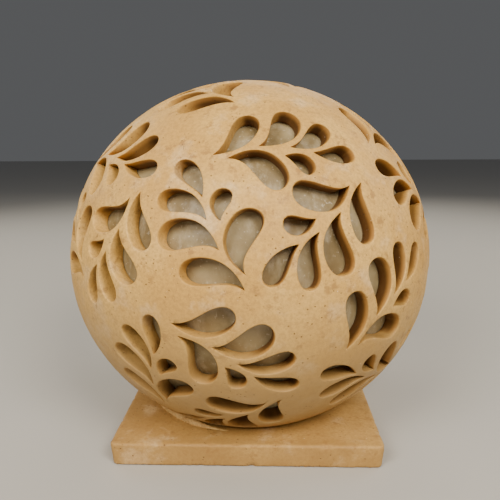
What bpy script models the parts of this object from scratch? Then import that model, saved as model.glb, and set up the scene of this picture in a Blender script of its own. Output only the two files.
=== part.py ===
"""Stone garden light ball.

A hollow globe of sandy stone stands on a square slab. It is pierced all round with sprays of six
drops, all cut to one stencil, and a thin cloudy liner behind them spreads the light of a lamp.

Metres, +Z up. The origin is the middle of the slab's underside, and the front is -Y.
"""
import math
from collections import namedtuple

import bmesh
import bpy
from mathutils import Matrix, Vector
from mathutils.geometry import delaunay_2d_cdt
from mathutils.kdtree import KDTree

# Driving dimensions, in metres
BALL_RADIUS = 0.150          # of the globe, measured level
BALL_HALF_HEIGHT = 0.145     # a thrown globe, a little flattened
BALL_WALL = 0.011
LINER_WALL = 0.0025
LINER_CLEARANCE = 0.001      # between the globe's inner face and the liner
MOUTH_RADIUS = 0.041         # of the way in for a lamp, which says how high up the globe is cut off
RIM_ABOVE_FOOT = 0.0015      # least stone under an opening
SLAB_SIZE = 0.205
SLAB_THICKNESS = 0.0185
SLAB_DRAFT = 0.0015          # how far the sides lean in towards the underside
SLAB_CORNER_RADIUS = 0.004
SLAB_ARRIS = 0.0012
SEAT_GAP = 0.0003            # between the slab and what stands on it

# The stencil of one spray, in degrees of arc on the globe. Each drop has the place of its tip along
# and to the left of the stem, the way it points (to the left of the stem), its length, its width,
# and the bow of its middle line (to the left)
Drop = namedtuple("Drop", "along left turn length width bow")
STENCIL = (
    Drop(along=-11.4, left=0.2, turn=47, length=16.6, width=7.4, bow=-1.8),
    Drop(along=0.0, left=1.7, turn=50, length=16.0, width=8.6, bow=-2.0),
    Drop(along=7.9, left=1.5, turn=38, length=14.6, width=6.6, bow=-1.6),
    Drop(along=13.8, left=0.3, turn=10, length=12.6, width=6.0, bow=-0.8),
    Drop(along=-8.0, left=-1.6, turn=-28, length=16.2, width=8.6, bow=2.6),
    Drop(along=6.2, left=-1.4, turn=-28, length=8.4, width=5.4, bow=0.8),
)
TIP_HALF_WIDTH = 0.6         # degrees of arc, near a drop's tip
TIP_TAPER = 1.6              # how slowly a drop widens from its tip
BOW_PEAK = 27 / 4            # makes the highest value of share * (1 - share) ** 2 one

# The sprays, in degrees: how far round the globe from the front (to the right), how far up from
# its middle, the way the stem points (left of straight up), and the size beside the stencil's
Spray = namedtuple("Spray", "around up heading size", defaults=(1.0,))
FRONT_SPRAYS = (
    Spray(-4, 13, 25),
    Spray(5, 38, -88),
    Spray(25, 22, 126),
    Spray(-9, -14, -128),
    Spray(37, -9, -51),
    Spray(-28, -30, -15, 0.95),
    Spray(-36, 17, 150, 0.95),
    Spray(-58.5, 35, -92),
    Spray(-22, 65, 55),
    Spray(72, 21, 52),
    Spray(0, -39, 124),
    Spray(50, -30.5, 74),
    Spray(64, 44, -76),
    Spray(70, 76, -72),
    Spray(-57, 10, 38),
)
BACK_SPRAYS = (
    Spray(79, -9, 120),
    Spray(112, 12, -40),
    Spray(98, -41, 100),
    Spray(132, -28, 15),
    Spray(150, 20, 160),
    Spray(131, 46, -115),
    Spray(175, -8, -60),
    Spray(178, -42, 100),
    Spray(-148, 17, 35),
    Spray(-158, 53, 80),
    Spray(-110, 52, -120),
    Spray(-110, 25, -170),
    Spray(-142, -20, 80),
    Spray(-134, -48, -75),
    Spray(-100, -21, -50),
    Spray(-70, -37, 110),
)

# How finely round things are cut into flat faces
OUTLINE_STEP = 4.2           # degrees of arc between the points of a drop's outline
FEWEST_OUTLINE_POINTS = 7
PLAIN_STEP = 7.3             # degrees of arc between the points of the plain stone
SKIRT_POINTS = 44
SKIRT_DEPTH = 0.002          # how far below the seat the wall runs before it is cut flat
LINER_SEGMENTS = 24
LINER_ROWS = 10
CORNER_SEGMENTS = 3
ARRIS_SEGMENTS = 2
SHARP_ANGLE = 60             # degrees between faces, from which an arris is rounded
MERGE = 0.00001

# Sizes and places that follow from them
LINER_OUTER_INSET = BALL_WALL + LINER_CLEARANCE
LINER_INNER_INSET = LINER_OUTER_INSET + LINER_WALL
MOUTH_SHARE = MOUTH_RADIUS / (BALL_RADIUS - LINER_INNER_INSET)
BALL_DROP = (BALL_HALF_HEIGHT - LINER_INNER_INSET) * math.sqrt(1 - MOUTH_SHARE ** 2)
SEAT_HEIGHT = SLAB_THICKNESS + SEAT_GAP
BALL_CENTRE = Vector((0, 0, SEAT_HEIGHT + BALL_DROP))

# Each material's colour and roughness
SANDY_STONE = ((0.66, 0.46, 0.25), 0.8)
CLOUDY_LINER = ((0.39, 0.32, 0.22), 0.4)
SLAB_STONE = ((0.48, 0.32, 0.16), 0.85)


def clear_scene():
    """Start from an empty scene."""
    for old in list(bpy.data.objects):
        bpy.data.objects.remove(old, do_unlink=True)


def make_collection(name):
    """A collection of that name, linked to the scene."""
    collection = bpy.data.collections.new(name)
    bpy.context.scene.collection.children.link(collection)
    return collection


def make_material(name, colour, roughness):
    """A plain dielectric material."""
    material = bpy.data.materials.new(name)
    material.use_nodes = True
    material.diffuse_color = (*colour, 1)
    shader = material.node_tree.nodes["Principled BSDF"]
    shader.inputs["Base Color"].default_value = (*colour, 1)
    shader.inputs["Roughness"].default_value = roughness
    shader.inputs["Metallic"].default_value = 0.0
    return material


def add_object(name, mesh, collection, material=None):
    """An object that holds the mesh."""
    piece = bpy.data.objects.new(name, mesh)
    collection.objects.link(piece)
    if material:
        mesh.materials.append(material)
    return piece


def direction(around, up):
    """The unit direction at those degrees round from the front and up from the middle."""
    around = math.radians(around)
    up = math.radians(up)
    return Vector((math.cos(up) * math.sin(around), -math.cos(up) * math.cos(around), math.sin(up)))


def on_ball(out):
    """The point of the globe's outer face in that unit direction, from the globe's own centre."""
    return Vector((out.x * BALL_RADIUS, out.y * BALL_RADIUS, out.z * BALL_HALF_HEIGHT))


def drop_outline(drop, size):
    """The outline of one drop as (along, left) in degrees, from its tip and round its head."""
    perimeter = 2 * (drop.length + drop.width / 2)
    count = max(FEWEST_OUTLINE_POINTS, round(perimeter / OUTLINE_STEP))
    widest = max(taper(math.pi * step / 90) for step in range(90))
    turn = Matrix.Rotation(math.radians(drop.turn), 2)
    outline = []
    for step in range(count):
        angle = math.tau * step / count
        share = (1 - math.cos(angle)) / 2
        half_width = (drop.width / 2 - TIP_HALF_WIDTH) * taper(angle) / widest
        half_width += TIP_HALF_WIDTH * math.sin(angle)
        bow = drop.bow * BOW_PEAK * share * (1 - share) ** 2
        point = turn @ Vector((drop.length * share, bow - half_width))
        outline.append(size * (point + Vector((drop.along, drop.left))))
    return outline


def taper(angle):
    """A drop's half width by the angle round it: narrow from the tip, full and round at the head."""
    return math.sin(angle) * abs(math.sin(angle / 2)) ** TIP_TAPER


def spray_outlines(spray):
    """The outlines of a spray's drops, as unit directions from the globe's centre."""
    out = direction(spray.around, spray.up)
    east = direction(spray.around + 90, 0)
    north = out.cross(east)
    heading = math.radians(spray.heading)
    ahead = north * math.cos(heading) - east * math.sin(heading)
    left = -north * math.sin(heading) - east * math.cos(heading)
    outlines = []
    for drop in STENCIL:
        outline = []
        for along, across in drop_outline(drop, spray.size):
            arc = math.radians(math.hypot(along, across))
            sideways = (ahead * along + left * across).normalized()
            outline.append(out * math.cos(arc) + sideways * math.sin(arc))
        outlines.append(outline)
    return outlines


def openings():
    """The outlines of all the drops that leave stone under them at the foot."""
    lowest = (RIM_ABOVE_FOOT - BALL_DROP) / BALL_HALF_HEIGHT
    outlines = []
    for spray in FRONT_SPRAYS + BACK_SPRAYS:
        for outline in spray_outlines(spray):
            if min(point.z for point in outline) > lowest:
                outlines.append(outline)
    return outlines


def skirt_latitude():
    """Degrees up from the middle where the skin ends: low enough for its wall to be cut off whole."""
    depth = (BALL_DROP + SKIRT_DEPTH) / (BALL_HALF_HEIGHT - BALL_WALL)
    return -math.degrees(math.asin(depth))


def plain_points(taken, lowest):
    """Evenly spread directions for the stone between the openings, clear of the points taken."""
    tree = KDTree(len(taken))
    for index, point in enumerate(taken):
        tree.insert(point, index)
    tree.balance()
    step = math.radians(PLAIN_STEP)
    count = round(4 * math.pi / (step * step * math.sin(math.radians(60))))
    golden_turn = math.pi * (3 - math.sqrt(5))
    points = []
    for index in range(count):
        height = 1 - (2 * index + 1) / count
        across = math.sqrt(1 - height * height)
        turn = golden_turn * index
        point = Vector((across * math.cos(turn), across * math.sin(turn), height))
        distance = tree.find(point)[2]
        if height > lowest and distance > step / 2:
            points.append(point)
    return points


def chart(out):
    """A flat map of the globe seen from its foot. Circles stay circles, so well shaped triangles do."""
    return Vector((out.x, out.y)) / (1 + out.z)


def skin_mesh():
    """The globe's outer face with every opening in it, as triangles drawn between the outlines."""
    skirt = skirt_latitude()
    loops = [[direction(360 * step / SKIRT_POINTS, skirt) for step in range(SKIRT_POINTS)]]
    loops += openings()
    directions = []
    faces = []
    for loop in loops:
        first = len(directions)
        faces.append(list(range(first, first + len(loop))))
        directions += loop
    directions += plain_points(directions, math.sin(math.radians(skirt + PLAIN_STEP / 2)))
    charted = [chart(out) for out in directions]
    result = delaunay_2d_cdt(charted, [], faces, 0, MERGE)
    triangles, origin_of_point, origin_of_face = result[2], result[3], result[5]
    mesh = bmesh.new()
    vertices = {}
    for corners, origins in zip(triangles, origin_of_face):
        if origins != [0]:
            continue
        for corner in corners:
            if corner not in vertices:
                vertices[corner] = mesh.verts.new(on_ball(directions[origin_of_point[corner][0]]))
        mesh.faces.new([vertices[corner] for corner in corners])
    for face in mesh.faces:
        face.smooth = True
    for edge in mesh.edges:
        edge.smooth = not edge.is_boundary
    skin = bpy.data.meshes.new("ball_skin")
    mesh.to_mesh(skin)
    mesh.free()
    return skin


def foot_cutter(collection):
    """A block under the globe, which cuts it off level with the slab."""
    size = 2 * BALL_RADIUS
    mesh = bmesh.new()
    bmesh.ops.create_cube(mesh, size=size)
    block = bpy.data.meshes.new("foot_cutter")
    mesh.to_mesh(block)
    mesh.free()
    cutter = add_object("foot_cutter", block, collection)
    cutter.location.z = SEAT_HEIGHT - size / 2
    cutter.hide_render = True
    cutter.display_type = "WIRE"
    return cutter


def make_ball(collection, cutters, material):
    """The pierced globe: its skin given a wall inwards, then cut off flat at the foot."""
    ball = add_object("pierced_ball", skin_mesh(), collection, material)
    ball.location = BALL_CENTRE
    wall = ball.modifiers.new("Wall", "SOLIDIFY")
    wall.thickness = BALL_WALL
    wall.offset = -1
    wall.use_even_offset = True
    cut = ball.modifiers.new("Flat foot", "BOOLEAN")
    cut.operation = "DIFFERENCE"
    cut.solver = "EXACT"
    cut.object = foot_cutter(cutters)


def liner_arc(inset):
    """One face of the liner's wall, from its top down to its seat on the slab."""
    radius = BALL_RADIUS - inset
    half_height = BALL_HALF_HEIGHT - inset
    top = math.pi / 2
    seat = -math.asin(BALL_DROP / half_height)
    arc = [Vector((0, 0, half_height))]
    for step in range(1, LINER_ROWS + 1):
        up = top + (seat - top) * step / LINER_ROWS
        arc.append(Vector((radius * math.cos(up), 0, half_height * math.sin(up))))
    return arc


def make_liner(collection, material):
    """The liner: a thin wall turned about +Z, open at the foot."""
    profile = liner_arc(LINER_OUTER_INSET)
    profile += reversed(liner_arc(LINER_INNER_INSET))
    mesh = bpy.data.meshes.new("diffuser_liner")
    mesh.from_pydata(profile, [(step, step + 1) for step in range(len(profile) - 1)], [])
    liner = add_object("diffuser_liner", mesh, collection, material)
    liner.location = BALL_CENTRE
    turning = liner.modifiers.new("Turning", "SCREW")
    turning.axis = "Z"
    turning.angle = math.tau
    turning.steps = LINER_SEGMENTS
    turning.render_steps = LINER_SEGMENTS
    turning.use_merge_vertices = True
    turning.merge_threshold = MERGE
    turning.use_smooth_shade = True


def make_slab(collection, material):
    """The square slab, whose sides lean in a little towards its underside."""
    mesh = bmesh.new()
    bmesh.ops.create_cube(mesh, size=1)
    bmesh.ops.scale(mesh, verts=mesh.verts, vec=(SLAB_SIZE, SLAB_SIZE, SLAB_THICKNESS))
    inset = 1 - 2 * SLAB_DRAFT / SLAB_SIZE
    below = [vertex for vertex in mesh.verts if vertex.co.z < 0]
    bmesh.ops.scale(mesh, verts=below, vec=(inset, inset, 1))
    upright = [edge for edge in mesh.edges if edge.verts[0].co.z * edge.verts[1].co.z < 0]
    bmesh.ops.bevel(mesh, geom=upright, offset=SLAB_CORNER_RADIUS, segments=CORNER_SEGMENTS,
                    profile=0.5, affect="EDGES")
    block = bpy.data.meshes.new("base_slab")
    mesh.to_mesh(block)
    mesh.free()
    slab = add_object("base_slab", block, collection, material)
    slab.location.z = SLAB_THICKNESS / 2
    arris = slab.modifiers.new("Arris", "BEVEL")
    arris.width = SLAB_ARRIS
    arris.segments = ARRIS_SEGMENTS
    arris.limit_method = "ANGLE"
    arris.angle_limit = math.radians(SHARP_ANGLE)


def main():
    """Build the three pieces."""
    clear_scene()
    light_ball = make_collection("Stone garden light ball")
    cutters = make_collection("Cutters")
    make_ball(light_ball, cutters, make_material("sandy_stone", *SANDY_STONE))
    make_liner(light_ball, make_material("cloudy_liner", *CLOUDY_LINER))
    make_slab(light_ball, make_material("slab_stone", *SLAB_STONE))


main()
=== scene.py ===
"""The looks of the stone garden light ball: worn openings, cloudy liner, chipped slab and mortar."""
import math
import random
from collections import namedtuple

import bmesh
import bpy
import numpy as np
from mathutils import Matrix, Vector, noise
from mathutils.geometry import delaunay_2d_cdt
from mathutils.kdtree import KDTree


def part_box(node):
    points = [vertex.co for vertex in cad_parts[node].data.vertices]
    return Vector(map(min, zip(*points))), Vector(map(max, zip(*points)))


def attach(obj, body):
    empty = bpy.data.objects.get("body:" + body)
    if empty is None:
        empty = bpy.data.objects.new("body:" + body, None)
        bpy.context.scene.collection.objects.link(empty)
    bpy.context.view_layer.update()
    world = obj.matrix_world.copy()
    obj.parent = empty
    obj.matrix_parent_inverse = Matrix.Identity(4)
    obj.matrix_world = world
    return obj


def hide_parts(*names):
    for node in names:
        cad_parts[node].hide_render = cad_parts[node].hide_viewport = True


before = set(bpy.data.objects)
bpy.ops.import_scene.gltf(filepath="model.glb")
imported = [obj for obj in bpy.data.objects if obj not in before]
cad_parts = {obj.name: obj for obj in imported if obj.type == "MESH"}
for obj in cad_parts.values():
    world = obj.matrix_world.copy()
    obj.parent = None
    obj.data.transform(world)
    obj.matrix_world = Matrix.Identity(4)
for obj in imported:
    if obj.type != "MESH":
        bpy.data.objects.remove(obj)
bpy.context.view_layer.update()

BODY = "root"
MM = 0.001

# The globe, as the solid has it, in metres
BALL_RADIUS = 0.150
BALL_HALF_HEIGHT = 0.145
BALL_WALL = 0.011
BALL_LOW, BALL_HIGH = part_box("pierced_ball")
SEAT_HEIGHT = BALL_LOW[2]
BALL_CENTRE = Vector((0, 0, BALL_HIGH[2] - BALL_HALF_HEIGHT))
BALL_DROP = BALL_CENTRE.z - SEAT_HEIGHT
DEGREE = BALL_RADIUS * math.pi / 180      # one degree of arc on the globe, in metres

# The stencil of one spray, in degrees of arc, as the solid has it
Drop = namedtuple("Drop", "along left turn length width bow")
STENCIL = (
    Drop(along=-11.4, left=0.2, turn=47, length=16.6, width=7.4, bow=-1.8),
    Drop(along=0.0, left=1.7, turn=50, length=16.0, width=8.6, bow=-2.0),
    Drop(along=7.9, left=1.5, turn=38, length=14.6, width=6.6, bow=-1.6),
    Drop(along=13.8, left=0.3, turn=10, length=12.6, width=6.0, bow=-0.8),
    Drop(along=-8.0, left=-1.6, turn=-28, length=16.2, width=8.6, bow=2.6),
    Drop(along=6.2, left=-1.4, turn=-28, length=8.4, width=5.4, bow=0.8),
)
TIP_HALF_WIDTH = 0.6
TIP_TAPER = 1.6
BOW_PEAK = 27 / 4                         # brings the bow's highest point to 1
NARROWEST_TIP = 0.45                      # degrees of arc, half the width of a tip where it is deepest
TIP_CLOSING = 0.12                        # how far a tip narrows for each part its sides draw in
TIP_PULL = 0.35                           # and how far it draws back

# The sprays, as the solid has them: degrees round from the front, up from the middle and of heading
Spray = namedtuple("Spray", "around up heading size", defaults=(1.0,))
SPRAYS = (
    Spray(-4, 13, 25),
    Spray(5, 38, -88),
    Spray(25, 22, 126),
    Spray(-9, -14, -128),
    Spray(37, -9, -51),
    Spray(-28, -30, -15, 0.95),
    Spray(-36, 17, 150, 0.95),
    Spray(-58.5, 35, -92),
    Spray(-22, 65, 55),
    Spray(72, 21, 52),
    Spray(0, -39, 124),
    Spray(50, -30.5, 74),
    Spray(64, 44, -76),
    Spray(70, 76, -72),
    Spray(-57, 10, 38),
    Spray(79, -9, 120),
    Spray(112, 12, -40),
    Spray(98, -41, 100),
    Spray(132, -28, 15),
    Spray(150, 20, 160),
    Spray(131, 46, -115),
    Spray(175, -8, -60),
    Spray(178, -42, 100),
    Spray(-148, 17, 35),
    Spray(-158, 53, 80),
    Spray(-110, 52, -120),
    Spray(-110, 25, -170),
    Spray(-142, -20, 80),
    Spray(-134, -48, -75),
    Spray(-100, -21, -50),
    Spray(-70, -37, 110),
)

# A worn opening from its rim to the globe's inner face: how far each ring is drawn in from the
# stencil's line, and how deep it lies, in millimetres
RIM = ((-0.7, 0.0), (-0.25, 0.08), (0.08, 0.38), (0.3, 1.0), (0.42, 2.4), (0.55, 5.0), (0.65, 8.0),
       (0.7, 10.4), (0.5, 11.0))
RIM_SHARE = 0.42                          # of the stone between two openings that one rim may take
RIM_REACH = 4.0                           # millimetres within which it gives way to the next opening
LEAST_REACH = 1e-9                        # stands for no reach where it is divided by
UNEVEN_LINE = 0.22                        # millimetres that the cut strays from the stencil's line
CUT_LEAN = 21                             # degrees that the cuts lean, at most, towards a knife held level
SQUARE_CUT = 14                           # degrees up from the middle where they don't lean
UNDER_WEAR = 0.3                          # millimetres that the stone under an opening is worn further back
WEAR_DEPTH = 2.0                          # and how deep that wear reaches
NEAR_POLE = 0.35                          # the cosine of the latitude from which the lean dies away
OUTLINE_STEP = 0.95                       # degrees of arc between the points round a drop
FEWEST_OUTLINE_POINTS = 20

# The globe's mesh between its openings. Steps are in degrees of arc
PLAIN_STEP = 1.35
INNER_PLAIN_STEP = 4.0
PLAIN_CLEARANCE = 0.6                     # of a step that its points keep from the openings' points
PLAIN_FROM = 0.01                         # how far over the foot they start, for a globe of radius 1
INNER_PLAIN_FROM = 0.03
FOOT_POINTS = 240
FOOT_RIM = ((0.0, 1.4), (0.25, 0.5), (0.9, 0.0))     # drawn in, and up from the seat, in millimetres
MERGE = 1e-7                              # the distance under which two points of the flat map are one
SHARP_ANGLE = 55                          # degrees between two faces over which their edge is sharp

# The hand-smoothed stone's unevenness: bumps to the metre, an offset, and a height in millimetres
UNEVENNESS = ((22, (0, 0, 0), 0.35), (70, (5, 1, 3), 0.16), (210, (2, 7, 4), 0.07))

# The liner's mesh, in millimetres
LINER_COLUMNS = 220
LINER_ROWS = 120
LINER_GAP = 0.35                          # from the globe's inner face to the liner
LINER_DEPTH = 3.5                         # and to the liner's own inner face
LINER_WAVE = 0.28
LINER_WAVES = 90                          # to the metre

# The slab, in millimetres
SLAB_DRAFT = 1.5
SLAB_CORNER_RADIUS = 4.0
SLAB_CORNER_STEPS = 5
SLAB_ARRIS = 1.3
SLAB_ARRIS_STEPS = 3
SLAB_ARRIS_ANGLE = 60
SLAB_VOXEL = 1.4
SLAB_WAVE = 0.2
SLAB_WAVES = 60                           # to the metre
MOST_PROUD = 0.15                         # how far its faces may stand out
ARRIS_WEAR = 3.6                          # how far from an arris it is chipped
BITES = 130                               # broad chips to the metre
BITE_OFFSET = Vector((3, 8, 1))
BITE_FROM = 0.3                           # the noise over which a broad chip starts
BITE_DEPTH = 3.4
NICKS = 420                               # small chips to the metre
NICK_OFFSET = Vector((6, 2, 5))
NICK_BELOW = 0.02                         # the noise over which a small chip starts, low on the slab
NICK_ABOVE = 0.25                         # and high on it
NICK_DEPTH = 1.7

# The mortar along the globe's foot, in millimetres. Its run is given as degrees round from the front,
# and how much of the full bead is there
MORTAR_OFF = 5.6                          # from the foot's edge to the bead's middle
MORTAR_HEIGHT = 3.6
MORTAR_HALF_WIDTH = 2.7
MORTAR_RUN = ((-204, 0.0), (-190, 0.4), (-82, 0.45), (-66, 1.0), (-30, 0.95), (-20, 0.35), (-10, 0.0))
MORTAR_STEPS = 420
MORTAR_SIDES = 14
MORTAR_SWELLS = ((7, 0.3), (25, 0.22))    # swells to the radius, and their share of the bead
MORTAR_LUMPS = 60                         # to the radius
MORTAR_LUMP = 0.12
MORTAR_STRAYS = 5                         # to the radius
MORTAR_STRAY = 0.7
MORTAR_STRAY_OFFSET = Vector((4, 0, 0))
MORTAR_LEAST = 0.02                       # of the full bead, at its ends
MORTAR_SUNK = 0.1                         # of its height that goes into the slab

# The stones, what lies in and on them, and the shade painted on the globe. Colours are linear red, green
# and blue, and scuffs is the most that the blush covers
Stone = namedtuple("Stone", "light dark blush scuffs")
BALL_STONE = Stone((0.83, 0.515, 0.145), (0.68, 0.385, 0.09), (0.90, 0.64, 0.33), 0.6)
SLAB_STONE = Stone((0.57, 0.345, 0.11), (0.43, 0.245, 0.073), (0.70, 0.48, 0.24), 0.7)
MORTAR_STONE = Stone((0.80, 0.55, 0.24), (0.70, 0.45, 0.16), (0.86, 0.66, 0.38), 0.6)
STONE_GLOSS = 0.35
SMUDGE = (0.34, 0.17, 0.05)
PIT = (0.12, 0.06, 0.02)
GLINT = (0.95, 0.84, 0.66)
# Painted shade: the colour that the globe darkens to towards its foot
FOOT_SHADE = (0.37, 0.225, 0.082)
FOOT_SHADE_HEIGHTS = (0.058, 0.17)                    # the heights between which the painted shade at the foot fades, in metres
SHADED = (0.03, 0.085)                    # and between which the painted shade in the cuts near the foot fades

# Painted shade in the cuts: from and to what depth in millimetres each colour comes in
CUT_SHADES = (
    ((0.25, 1.2), (0.44, 0.22, 0.054)),
    ((1.2, 6.0), (0.11, 0.046, 0.009)),
)

# The liner's colours
LINER_DARK = (0.20, 0.14, 0.058)
LINER_LIGHT = (0.34, 0.265, 0.14)
LINER_STREAK = (0.46, 0.385, 0.26)
LINER_SPECK = (0.66, 0.58, 0.44)

# The colour sockets of a Mix node, by their place among its inputs and outputs
MIX_FIRST = 6
MIX_SECOND = 7
MIX_RESULT = 2

# The studio, in metres and watts: the keys from the front, and weaker fills from the sides and behind
Light = namedtuple("Light", "name place size power")
LIGHTS = (
    Light("key_left", (-0.54, -0.92, 0.88), 0.5, 13.5),
    Light("key_right", (0.50, -0.92, 0.92), 0.5, 15.5),
    Light("fill_left", (-1.1, 0.75, 0.9), 0.9, 7.5),
    Light("fill_back", (0.2, 1.5, 1.1), 0.9, 8.5),
    Light("fill_right", (1.2, 0.6, 0.9), 0.9, 7.5),
)
WARM = (1.0, 0.93, 0.8)
SKY = (0.9, 0.92, 0.95)
SKY_STRENGTH = 0.11
FLOOR = (0.50, 0.485, 0.46)
FLOOR_ROUGHNESS = 0.8
FLOOR_REACH = 8.0

# The camera of the photograph, in metres from the object's origin and in degrees
CAMERA_PLACE = Vector((0.01515, -0.46695, 0.2364))
CAMERA_YAW = -1.83
CAMERA_PITCH = -11.0
CAMERA_ROLL = -0.29
LENS = 39.0                               # millimetres
SENSOR = 36.0
NEAREST_SEEN = 0.01


def direction(around, up):
    """The unit direction at those degrees round from the front and up from the middle."""
    around = math.radians(around)
    up = math.radians(up)
    return Vector((math.cos(up) * math.sin(around), -math.cos(up) * math.cos(around), math.sin(up)))


def taper(angle):
    """A drop's half width by the angle round it: narrow from the tip, full and round at the head."""
    return np.sin(angle) * np.abs(np.sin(angle / 2)) ** TIP_TAPER


WIDEST = taper(np.linspace(0, math.pi, 90)).max()    # of the half widths at 90 angles


def drop_outline(drop, size, inset):
    """The outline of one drop as (along, left) in degrees, drawn in by inset degrees."""
    perimeter = 2 * (drop.length + drop.width / 2)
    count = max(FEWEST_OUTLINE_POINTS, round(perimeter / OUTLINE_STEP))
    angle = np.arange(count) * math.tau / count
    share = (1 - np.cos(angle)) / 2
    tip = max(TIP_HALF_WIDTH - TIP_CLOSING * inset, NARROWEST_TIP)
    body = drop.width / 2 - inset - tip
    pull = inset * TIP_PULL if inset > 0 else inset
    along = pull + (drop.length - pull - inset) * share
    bow = drop.bow * BOW_PEAK * share * (1 - share) ** 2
    across = bow - body * taper(angle) / WIDEST - tip * np.sin(angle)
    turn = math.radians(drop.turn)
    ahead = along * math.cos(turn) - across * math.sin(turn) + drop.along
    left = along * math.sin(turn) + across * math.cos(turn) + drop.left
    return size * np.stack([ahead, left], 1)


def on_globe(spray, plane):
    """The unit directions of points drawn on a spray's plane in degrees."""
    out = direction(spray.around, spray.up)
    east = direction(spray.around + 90, 0)
    north = out.cross(east)
    heading = math.radians(spray.heading)
    ahead = np.array(north * math.cos(heading) - east * math.sin(heading))
    left = np.array(-north * math.sin(heading) - east * math.cos(heading))
    reach = np.hypot(plane[:, 0], plane[:, 1])
    arc = np.radians(reach)
    sideways = (plane[:, :1] * ahead + plane[:, 1:] * left) / reach[:, None]
    return np.cos(arc)[:, None] * np.array(out) + np.sin(arc)[:, None] * sideways


def wobble(count, rng, amount):
    """A smooth uneven run round an outline, as of a hand that followed a stencil."""
    angle = np.arange(count) * math.tau / count
    run = np.zeros(count)
    for lobes in (2, 3, 5):
        run += np.sin(lobes * angle + rng.uniform(0, math.tau)) * rng.uniform(0.3, 1) / lobes
    return amount * run


def ring_of(opening, inset):
    """The directions round one opening, drawn in by inset millimetres."""
    spray, drop, seed = opening
    plane = drop_outline(drop, spray.size, inset * MM / DEGREE)
    outward = plane - plane.mean(0)
    outward /= np.hypot(outward[:, 0], outward[:, 1])[:, None]
    uneven = wobble(len(plane), random.Random(seed), UNEVEN_LINE * MM / DEGREE)
    return on_globe(spray, plane + outward * uneven[:, None])


def leaned(ring, depth):
    """A ring moved up or down the globe as far as the leaning cuts and the worn rims take it."""
    up = ring[:, 2]
    level = np.sqrt(1 - up ** 2)
    lean = np.tan(math.radians(CUT_LEAN) * np.sin(2 * (np.arcsin(up) - math.radians(SQUARE_CUT))))
    shift = (depth * lean + UNDER_WEAR * min(1, depth / WEAR_DEPTH)) * MM / BALL_RADIUS
    north = np.array([0, 0, 1]) - ring * up[:, None]
    moved = ring + north * (shift / np.maximum(level, NEAR_POLE))[:, None]
    return moved / np.linalg.norm(moved, axis=1)[:, None]


def room_beside(lines):
    """For each point of each opening's line, how far the next opening is, up to a limit."""
    tree = KDTree(sum(len(line) for line in lines))
    owners = []
    for owner, line in enumerate(lines):
        for point in line:
            tree.insert(point, len(owners))
            owners.append(owner)
    tree.balance()
    limit = RIM_REACH * MM / BALL_RADIUS
    rooms = []
    for owner, line in enumerate(lines):
        near = [[found[2] for found in tree.find_range(point, limit) if owners[found[1]] != owner]
                for point in line]
        rooms.append(np.array([min(found, default=limit) for found in near]))
    return rooms


def make_openings(foot):
    """Each opening's rings of directions from the rim inwards, clear of the next one and of the foot."""
    openings = []
    for spray in SPRAYS:
        openings += [(spray, drop, len(openings) + order) for order, drop in enumerate(STENCIL)]
    lines = [ring_of(opening, 0) for opening in openings]
    all_rings = []
    for opening, line, room in zip(openings, lines, room_beside(lines + [foot])):
        rings = []
        for inset, depth in RIM:
            ring = ring_of(opening, inset)
            if inset < 0:
                reach = np.linalg.norm(ring - line, axis=1)
                share = np.minimum(1, RIM_SHARE * room / np.maximum(reach, LEAST_REACH))
                ring = line + (ring - line) * share[:, None]
                ring /= np.linalg.norm(ring, axis=1)[:, None]
            rings.append(leaned(ring, depth))
        all_rings.append(rings)
    return all_rings


def at_depth(directions, depth, relief=1.0):
    """Points of the globe that deep under its outer face, with the stone's soft unevenness."""
    surface = directions * np.array([BALL_RADIUS, BALL_RADIUS, BALL_HALF_HEIGHT])
    normal = surface / np.array([BALL_RADIUS, BALL_RADIUS, BALL_HALF_HEIGHT]) ** 2
    normal /= np.linalg.norm(normal, axis=1)[:, None]
    lift = np.array([unevenness(Vector(point)) for point in surface]) * relief
    return surface + normal * (lift - depth)[:, None] + np.array(BALL_CENTRE)


def unevenness(point):
    """How far the hand-smoothed stone stands off a true globe, in metres."""
    return MM * sum(height * noise.noise(point * bumps + Vector(offset))
                    for bumps, offset, height in UNEVENNESS)


def chart(out):
    """A flat map of the globe seen from its foot, in which circles stay circles."""
    return Vector((out[0], out[1])) / (1 + out[2])


def plain_directions(taken, lowest, step_degrees):
    """Evenly spread directions for the plain stone, clear of the points taken."""
    tree = KDTree(len(taken))
    for index, point in enumerate(taken):
        tree.insert(point, index)
    tree.balance()
    step = math.radians(step_degrees)
    count = round(4 * math.pi / (step * step * math.sin(math.radians(60))))
    golden_turn = math.pi * (3 - math.sqrt(5))
    points = []
    for index in range(count):
        height = 1 - (2 * index + 1) / count
        if height < lowest:
            break
        across = math.sqrt(1 - height * height)
        turn = golden_turn * index
        point = Vector((across * math.cos(turn), across * math.sin(turn), height))
        if tree.find(point)[2] > step * PLAIN_CLEARANCE:
            points.append(point)
    return np.array(points)


def skin(loops, lowest, step):
    """Triangles between the first loop and the others: the directions, and corners by their index."""
    taken = np.concatenate(loops)
    faces = []
    first = 0
    for loop in loops:
        faces.append(list(range(first, first + len(loop))))
        first += len(loop)
    directions = np.concatenate([taken, plain_directions(taken, lowest, step)])
    charted = [chart(out) for out in directions]
    _, _, filled, sources, _, owners = delaunay_2d_cdt(charted, [], faces, 0, MERGE)
    triangles = []
    for corners, owning_loops in zip(filled, owners):
        if owning_loops == [0]:
            triangles.append([sources[corner][0] for corner in corners])
    return directions, triangles


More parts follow.
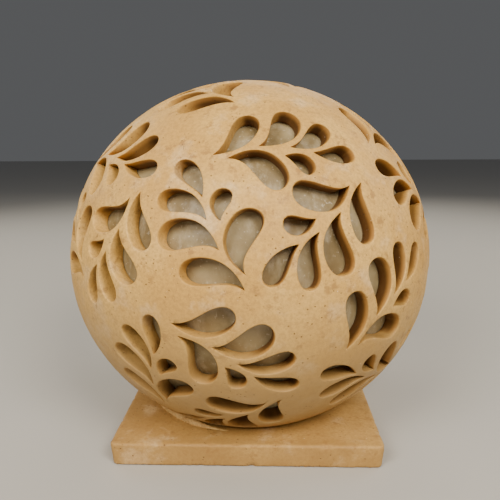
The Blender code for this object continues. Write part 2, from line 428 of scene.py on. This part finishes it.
class Build:
    """Collects the points and faces of one mesh."""

    def __init__(self):
        self.points = []
        self.faces = []
        self.count = 0

    def add(self, points):
        """Adds points and returns the index of the first."""
        first = self.count
        self.points.append(np.asarray(points))
        self.count += len(points)
        return first

    def bridge(self, upper, lower, count):
        """Quads between two rings of as many points, given by their first index."""
        for step in range(count):
            after = (step + 1) % count
            self.faces.append([upper + step, upper + after, lower + after, lower + step])

    def mesh(self, name):
        """The finished mesh, smooth but for its sharp arrises."""
        mesh = bpy.data.meshes.new(name)
        mesh.from_pydata(np.concatenate(self.points).tolist(), [], self.faces)
        mesh.update()
        mesh.shade_smooth()
        mesh.set_sharp_from_angle(angle=math.radians(SHARP_ANGLE))
        return mesh


def add_piece(name, mesh, material):
    """A piece that rides on the one body."""
    piece = bpy.data.objects.new(name, mesh)
    bpy.context.scene.collection.objects.link(piece)
    mesh.materials.append(material)
    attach(piece, BODY)
    return piece


def ring_at(height, inset):
    """Directions round the globe at that height over its centre, for a face inset metres deep."""
    up = math.asin(height / (BALL_HALF_HEIGHT - inset))
    turns = [360 * step / FOOT_POINTS for step in range(FOOT_POINTS)]
    return np.array([direction(turn, math.degrees(up)) for turn in turns])


def make_ball(material):
    """The pierced globe with rounded rims, leaning walls and a soft, uneven surface."""
    build = Build()
    foot = [ring_at(rise * MM - BALL_DROP, 0) for inset, rise in FOOT_RIM]
    openings = make_openings(foot[0])
    directions, triangles = skin([foot[0]] + [rings[0] for rings in openings],
                                 foot[0][0][2] + PLAIN_FROM, PLAIN_STEP)
    outer = build.add(at_depth(directions, 0))
    build.faces += [[outer + corner for corner in triangle] for triangle in triangles]
    inner_foot = ring_at(-BALL_DROP, BALL_WALL)
    inside, inner_triangles = skin([inner_foot] + [rings[-1] for rings in openings],
                                   inner_foot[0][2] + INNER_PLAIN_FROM, INNER_PLAIN_STEP)
    inner = build.add(at_depth(inside, BALL_WALL, 0))
    build.faces += [[inner + corner for corner in reversed(triangle)] for triangle in inner_triangles]
    above = outer
    for (inset, rise), ring in zip(FOOT_RIM[1:], foot[1:]):
        points = at_depth(ring, inset * MM)
        points[:, 2] = SEAT_HEIGHT + rise * MM
        below = build.add(points)
        build.bridge(below, above, FOOT_POINTS)
        above = below
    build.bridge(inner, above, FOOT_POINTS)
    outer_start = outer + FOOT_POINTS
    inner_start = inner + FOOT_POINTS
    for rings in openings:
        count = len(rings[0])
        above = outer_start
        for ring, (inset, depth) in zip(rings[1:-1], RIM[1:-1]):
            below = build.add(at_depth(ring, depth * MM, 1 - depth * MM / BALL_WALL))
            build.bridge(above, below, count)
            above = below
        build.bridge(above, inner_start, count)
        outer_start += count
        inner_start += count
    piece = add_piece("globe_stone", build.mesh("globe_stone"), material)
    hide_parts("pierced_ball")


def liner_ring(row, inset, wave):
    """The points of one level ring of the liner, or its top where the row is 0."""
    seat = -math.degrees(math.asin(BALL_DROP / (BALL_HALF_HEIGHT - inset)))
    up = 90 + (seat - 90) * row / LINER_ROWS
    count = LINER_COLUMNS if row else 1
    radii = np.array([BALL_RADIUS - inset, BALL_RADIUS - inset, BALL_HALF_HEIGHT - inset])
    points = []
    for step in range(count):
        point = Vector(np.array(direction(360 * step / count, up)) * radii)
        lift = wave * MM * noise.noise(point * LINER_WAVES)
        points.append(point * (1 - abs(lift) / BALL_RADIUS) + BALL_CENTRE)
    return points


def make_liner(material):
    """The cloudy liner, a little wavy behind the openings."""
    build = Build()
    outer = [liner_ring(row, BALL_WALL + LINER_GAP * MM, LINER_WAVE) for row in range(LINER_ROWS + 1)]
    inner = [liner_ring(row, BALL_WALL + LINER_DEPTH * MM, 0) for row in range(LINER_ROWS, -1, -1)]
    starts = [(build.add(ring), len(ring)) for ring in outer + inner]
    for (upper, before), (lower, after) in zip(starts, starts[1:]):
        if before == after:
            build.bridge(lower, upper, before)
        elif before == 1:
            build.faces += [[upper, lower + (step + 1) % after, lower + step] for step in range(after)]
        else:
            build.faces += [[lower, upper + step, upper + (step + 1) % before] for step in range(before)]
    piece = add_piece("liner_sheet", build.mesh("liner_sheet"), material)
    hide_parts("diffuser_liner")


def make_slab(material):
    """The slab with worn, chipped arrises."""
    low, high = (Vector(corner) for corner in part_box("base_slab"))
    size = high - low
    draft = SLAB_DRAFT * MM
    cube = bmesh.new()
    bmesh.ops.create_cube(cube, size=1)
    bmesh.ops.scale(cube, verts=cube.verts, vec=size)
    inset = 1 - 2 * draft / size.x
    lower = [vertex for vertex in cube.verts if vertex.co.z < 0]
    bmesh.ops.scale(cube, verts=lower, vec=(inset, inset, 1))
    upright = [edge for edge in cube.edges if edge.verts[0].co.z * edge.verts[1].co.z < 0]
    bmesh.ops.bevel(cube, geom=upright, offset=SLAB_CORNER_RADIUS * MM,
                    segments=SLAB_CORNER_STEPS, profile=0.5, affect="EDGES")
    bmesh.ops.translate(cube, verts=cube.verts, vec=(low + high) / 2)
    mesh = bpy.data.meshes.new("slab_cage")
    cube.to_mesh(mesh)
    cube.free()
    cage = bpy.data.objects.new("slab_cage", mesh)
    bpy.context.scene.collection.objects.link(cage)
    arris = cage.modifiers.new("Arris", "BEVEL")
    arris.width = SLAB_ARRIS * MM
    arris.segments = SLAB_ARRIS_STEPS
    arris.limit_method = "ANGLE"
    arris.angle_limit = math.radians(SLAB_ARRIS_ANGLE)
    remesh = cage.modifiers.new("Remesh", "REMESH")
    remesh.mode = "VOXEL"
    remesh.voxel_size = SLAB_VOXEL * MM
    graph = bpy.context.evaluated_depsgraph_get()
    fine = bpy.data.meshes.new_from_object(cage.evaluated_get(graph))
    bpy.data.objects.remove(cage)
    fine.name = "slab_stone"
    wear_slab(fine, low, high, draft)
    fine.shade_smooth()
    piece = add_piece("slab_stone", fine, material)
    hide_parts("base_slab")


def wear_slab(mesh, low, high, draft):
    """Uneven faces, and chips bitten out of the arrises."""
    middle = (low + high) / 2
    half = (high - low) / 2
    normals = [entry.vector.copy() for entry in mesh.vertex_normals]
    worn = []
    for vertex, normal in zip(mesh.vertices, normals):
        place = vertex.co - middle
        lean = half.x - draft * (half.z - place.z) / (2 * half.z)
        near_side = lean - max(abs(place.x), abs(place.y))
        near_face = half.z - abs(place.z)
        near_arris = math.hypot(near_side, near_face)
        move = SLAB_WAVE * MM * noise.noise(vertex.co * SLAB_WAVES)
        bite = noise.noise(vertex.co * BITES + BITE_OFFSET) - BITE_FROM
        nick_from = NICK_BELOW if place.z < 0 else NICK_ABOVE
        nick = noise.noise(vertex.co * NICKS + NICK_OFFSET) - nick_from
        if near_arris < ARRIS_WEAR * MM:
            wear = BITE_DEPTH * max(bite, 0) + NICK_DEPTH * max(nick, 0)
            move -= wear * MM * (1 - near_arris / (ARRIS_WEAR * MM))
        point = vertex.co + normal * min(move, MOST_PROUD * MM)
        worn += (point.x, point.y, max(point.z, low.z))
    mesh.vertices.foreach_set("co", worn)
    mesh.update()


def make_mortar(material):
    """The bead of mortar squeezed out along the globe's foot."""
    foot_radius = math.sqrt(1 - (BALL_DROP / BALL_HALF_HEIGHT) ** 2) * BALL_RADIUS
    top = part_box("base_slab")[1][2]
    turns, shares = zip(*MORTAR_RUN)
    build = Build()
    rings = []
    for around in np.linspace(turns[0], turns[-1], MORTAR_STEPS + 1):
        out = direction(around, 0)
        swell = sum((share * noise.noise(out * swells) for swells, share in MORTAR_SWELLS), 1)
        bulk = max(float(np.interp(around, turns, shares) * swell), MORTAR_LEAST)
        stray = MORTAR_STRAY * noise.noise(out * MORTAR_STRAYS + MORTAR_STRAY_OFFSET)
        middle = out * (foot_radius + (MORTAR_OFF + stray) * MM)
        ring = []
        for side in range(MORTAR_SIDES):
            angle = math.tau * side / MORTAR_SIDES
            lump = 1 + MORTAR_LUMP * noise.noise(out * MORTAR_LUMPS + Vector((0, 0, angle)))
            across = MORTAR_HALF_WIDTH * bulk ** 0.5 * lump * math.cos(angle)
            rise = MORTAR_HEIGHT * bulk * lump * max(math.sin(angle), -MORTAR_SUNK)
            ring.append(middle + out * (across * MM) + Vector((0, 0, top + rise * MM)))
        rings.append(build.add(ring))
    for upper, lower in zip(rings, rings[1:]):
        build.bridge(upper, lower, MORTAR_SIDES)
    build.faces.append([rings[0] + side for side in range(MORTAR_SIDES)])
    build.faces.append([rings[-1] + side for side in reversed(range(MORTAR_SIDES))])
    add_piece("mortar_bead", build.mesh("mortar_bead"), material)


class Shader:
    """A material's node tree, with short calls for the nodes it is made of."""

    def __init__(self, name):
        self.material = bpy.data.materials.new(name)
        self.material.use_nodes = True
        self.tree = self.material.node_tree
        self.surface = self.tree.nodes["Principled BSDF"]
        self.coordinates = self.tree.nodes.new("ShaderNodeTexCoord")
        self.place = self.coordinates.outputs["Object"]

    def link(self, source, target):
        """Joins a node's output to another's input, or sets the input to a value."""
        if isinstance(source, bpy.types.NodeSocket):
            self.tree.links.new(source, target)
        else:
            target.default_value = source

    def noise(self, scale, detail, stretch=None, offset=(0, 0, 0), rough=0.5):
        """A noise from 0 to 1, with features about 1 / scale metres wide."""
        node = self.tree.nodes.new("ShaderNodeTexNoise")
        node.inputs["Scale"].default_value = scale
        node.inputs["Detail"].default_value = detail
        node.inputs["Roughness"].default_value = rough
        self.tree.links.new(self.mapped(stretch, offset), node.inputs["Vector"])
        return node.outputs["Fac"]

    def mapped(self, stretch, offset, kind="POINT"):
        """The object's own coordinates, moved and stretched, or set back by the same for a TEXTURE."""
        node = self.tree.nodes.new("ShaderNodeMapping")
        node.vector_type = kind
        node.inputs["Location"].default_value = offset
        if stretch:
            node.inputs["Scale"].default_value = stretch
        self.tree.links.new(self.place, node.inputs["Vector"])
        return node.outputs["Vector"]

    def cells(self, scale, offset=(0, 0, 0)):
        """The distance from the middle of the nearest of many scattered cells."""
        node = self.tree.nodes.new("ShaderNodeTexVoronoi")
        node.inputs["Scale"].default_value = scale
        self.tree.links.new(self.mapped(None, offset), node.inputs["Vector"])
        return node.outputs["Distance"]

    def ramp(self, value, low, high, start=0.0, stop=1.0):
        """The value drawn out smoothly so that low gives start and high gives stop."""
        node = self.tree.nodes.new("ShaderNodeMapRange")
        node.interpolation_type = "SMOOTHSTEP"
        for name, source in (("Value", value), ("From Min", low), ("From Max", high),
                             ("To Min", start), ("To Max", stop)):
            self.link(source, node.inputs[name])
        return node.outputs["Result"]

    def maths(self, operation, first, second):
        """One operation on two values."""
        node = self.tree.nodes.new("ShaderNodeMath")
        node.operation = operation
        self.link(first, node.inputs[0])
        self.link(second, node.inputs[1])
        return node.outputs["Value"]

    def mix(self, share, first, second):
        """A colour between two."""
        node = self.tree.nodes.new("ShaderNodeMix")
        node.data_type = "RGBA"
        self.link(share, node.inputs["Factor"])
        for source, place in ((first, MIX_FIRST), (second, MIX_SECOND)):
            colour = source if isinstance(source, bpy.types.NodeSocket) else (*source, 1)
            self.link(colour, node.inputs[place])
        return node.outputs[MIX_RESULT]

    def depth(self):
        """How deep under the globe's outer face a point lies, in millimetres."""
        share = self.tree.nodes.new("ShaderNodeVectorMath")
        share.operation = "LENGTH"
        radii = (BALL_RADIUS, BALL_RADIUS, BALL_HALF_HEIGHT)
        self.tree.links.new(self.mapped(radii, BALL_CENTRE, "TEXTURE"), share.inputs[0])
        under = self.maths("SUBTRACT", 1.0, share.outputs["Value"])
        return self.maths("MULTIPLY", under, BALL_RADIUS / MM)

    def height(self):
        """How high over the origin a point lies, in metres."""
        split = self.tree.nodes.new("ShaderNodeSeparateXYZ")
        self.tree.links.new(self.place, split.inputs["Vector"])
        return split.outputs["Z"]

    def facing(self, axis):
        """How far the surface faces along the object's own axis, from -1 to 1."""
        split = self.tree.nodes.new("ShaderNodeSeparateXYZ")
        self.tree.links.new(self.coordinates.outputs["Normal"], split.inputs["Vector"])
        return split.outputs[axis]

    def bump(self, height, distance, strength, under=None):
        """A fine relief in the surface, on top of another where one is given."""
        node = self.tree.nodes.new("ShaderNodeBump")
        node.inputs["Distance"].default_value = distance
        node.inputs["Strength"].default_value = strength
        self.link(height, node.inputs["Height"])
        if under:
            self.link(under, node.inputs["Normal"])
        return node.outputs["Normal"]

    def finish(self, colour, roughness, normal):
        """Puts the three on the surface and returns the material."""
        self.link(colour, self.surface.inputs["Base Color"])
        self.link(roughness, self.surface.inputs["Roughness"])
        self.link(normal, self.surface.inputs["Normal"])
        return self.material


def painted_shade(shader, colour):
    """Painted shade at the globe's foot, and in its cuts, darkest on walls that face down or left."""
    foot_shading = shader.ramp(shader.height(), *FOOT_SHADE_HEIGHTS, 1, 0)
    colour = shader.mix(shader.maths("MULTIPLY", foot_shading, 0.85), colour, FOOT_SHADE)
    under = shader.ramp(shader.facing("Z"), -0.6, 0.25, 1, 0.1)
    under = shader.maths("MULTIPLY", under, shader.ramp(shader.facing("X"), 0.05, 0.6, 1, 0.3))
    wall_shade = shader.maths("MAXIMUM", under, shader.ramp(shader.facing("X"), -0.75, 0, 1, 0))
    wall_shade = shader.maths("MAXIMUM", wall_shade, shader.ramp(shader.height(), *SHADED, 0.85, 0))
    for (start, stop), cut_shade in CUT_SHADES:
        deep = shader.ramp(shader.depth(), start, stop)
        colour = shader.mix(shader.maths("MULTIPLY", deep, wall_shade), colour, cut_shade)
    return colour


def stone(name, look, with_painted_shade=False):
    """Fine sandy stone: broad mottling, pale blushes, smudges, grain, dark pits and a few glints."""
    shader = Shader(name)
    colour = shader.mix(shader.ramp(shader.noise(15, 4), 0.36, 0.64), look.dark, look.light)
    ochre = shader.ramp(shader.noise(48, 5, offset=(6, 3, 9), rough=0.6), 0.48, 0.68, 0, 0.75)
    colour = shader.mix(ochre, colour, look.dark)
    patches = shader.noise(34, 5, offset=(3, 1, 2), rough=0.6)
    colour = shader.mix(shader.ramp(patches, 0.54, 0.7, 0, look.scuffs), colour, look.blush)
    smudges = shader.noise(110, 4, offset=(8, 8, 1), rough=0.7)
    colour = shader.mix(shader.ramp(smudges, 0.55, 0.68, 0, 0.65), colour, SMUDGE)
    sand = shader.noise(420, 3, offset=(5, 2, 2), rough=0.7)
    colour = shader.mix(shader.ramp(sand, 0.35, 0.62, 0.34, 0.0), colour, SMUDGE)
    grain = shader.noise(950, 3, rough=0.7)
    colour = shader.mix(shader.ramp(grain, 0.3, 0.7, 0.16, 0.0), colour, SMUDGE)
    # painted shade at the globe's foot and in its cuts
    if with_painted_shade:
        colour = painted_shade(shader, colour)
    pits = shader.ramp(shader.cells(260), 0.08, 0.17, 1, 0)
    pitted = shader.ramp(shader.noise(60, 2, offset=(7, 5, 9)), 0.46, 0.56)
    pits = shader.maths("MULTIPLY", pits, pitted)
    colour = shader.mix(shader.maths("MULTIPLY", pits, 0.75), colour, PIT)
    glints = shader.ramp(shader.cells(170, offset=(1, 4, 6)), 0.035, 0.07, 1, 0)
    glinting = shader.ramp(shader.noise(45, 2, offset=(9, 2, 4)), 0.55, 0.65)
    glints = shader.maths("MULTIPLY", glints, glinting)
    colour = shader.mix(shader.maths("MULTIPLY", glints, 0.7), colour, GLINT)
    roughness = shader.ramp(shader.noise(120, 4), 0.3, 0.7, 0.48, 0.66)
    normal = shader.bump(shader.noise(75, 4), 0.0009, 0.5)
    normal = shader.bump(sand, 0.0003, 0.5, normal)
    normal = shader.bump(grain, 0.00014, 0.5, normal)
    normal = shader.bump(pits, -0.0005, 0.8, normal)
    shader.surface.inputs["Specular IOR Level"].default_value = STONE_GLOSS
    return shader.finish(colour, roughness, normal)


def cloudy(name):
    """The liner: a cloudy sheet, streaked grey-beige and brown, a little glossy, with small bubbles."""
    shader = Shader(name)
    colour = shader.mix(shader.ramp(shader.noise(24, 5, rough=0.6), 0.36, 0.6), LINER_DARK, LINER_LIGHT)
    streaks = shader.noise(95, 5, stretch=(1, 1, 0.4), offset=(2, 6, 1), rough=0.65)
    colour = shader.mix(shader.ramp(streaks, 0.48, 0.7, 0, 0.65), colour, LINER_STREAK)
    specks = shader.noise(420, 3, offset=(4, 4, 8))
    colour = shader.mix(shader.ramp(specks, 0.63, 0.71, 0, 0.42), colour, LINER_SPECK)
    roughness = shader.ramp(shader.noise(150, 3), 0.35, 0.65, 0.42, 0.66)
    normal = shader.bump(shader.noise(55, 3), 0.0012, 0.6)
    normal = shader.bump(shader.noise(480, 3), 0.0002, 0.6, normal)
    return shader.finish(colour, roughness, normal)


def plain(name, colour, roughness):
    """One plain colour, for the floor."""
    material = bpy.data.materials.new(name)
    material.use_nodes = True
    shader = material.node_tree.nodes["Principled BSDF"]
    shader.inputs["Base Color"].default_value = (*colour, 1)
    shader.inputs["Roughness"].default_value = roughness
    return material


def make_camera():
    """The photograph's camera."""
    camera = bpy.data.cameras.new("camera")
    camera.lens = LENS
    camera.sensor_width = SENSOR
    camera.clip_start = NEAREST_SEEN
    eye = bpy.data.objects.new("camera", camera)
    bpy.context.scene.collection.objects.link(eye)
    look = (Matrix.Rotation(math.radians(-CAMERA_YAW), 4, "Z")
            @ Matrix.Rotation(math.radians(90 + CAMERA_PITCH), 4, "X")
            @ Matrix.Rotation(math.radians(CAMERA_ROLL), 4, "Z"))
    eye.matrix_world = Matrix.Translation(CAMERA_PLACE) @ look
    bpy.context.scene.camera = eye


def add_light(light):
    """A soft square light, turned to the globe's middle."""
    data = bpy.data.lights.new(light.name, "AREA")
    data.size = light.size
    data.energy = light.power
    data.color = WARM
    lamp = bpy.data.objects.new(light.name, data)
    lamp.location = light.place
    lamp.rotation_euler = (BALL_CENTRE - Vector(light.place)).to_track_quat("-Z", "Y").to_euler()
    bpy.context.scene.collection.objects.link(lamp)


def make_studio():
    """A plain pale floor, soft light from above and in front, and weaker light from the other sides."""
    floor_mesh = bpy.data.meshes.new("floor")
    build = bmesh.new()
    bmesh.ops.create_grid(build, x_segments=1, y_segments=1, size=FLOOR_REACH)
    build.to_mesh(floor_mesh)
    build.free()
    floor = bpy.data.objects.new("floor", floor_mesh)
    floor_mesh.materials.append(plain("floor_pale", FLOOR, FLOOR_ROUGHNESS))
    bpy.context.scene.collection.objects.link(floor)
    for light in LIGHTS:
        add_light(light)
    world = bpy.data.worlds.new("studio")
    world.use_nodes = True
    background = world.node_tree.nodes["Background"]
    background.inputs["Color"].default_value = (*SKY, 1)
    background.inputs["Strength"].default_value = SKY_STRENGTH
    bpy.context.scene.world = world


make_camera()
make_studio()
make_ball(stone("sandy_stone", BALL_STONE, with_painted_shade=True))
make_liner(cloudy("cloudy_liner"))
make_slab(stone("slab_stone", SLAB_STONE))
make_mortar(stone("mortar", MORTAR_STONE))
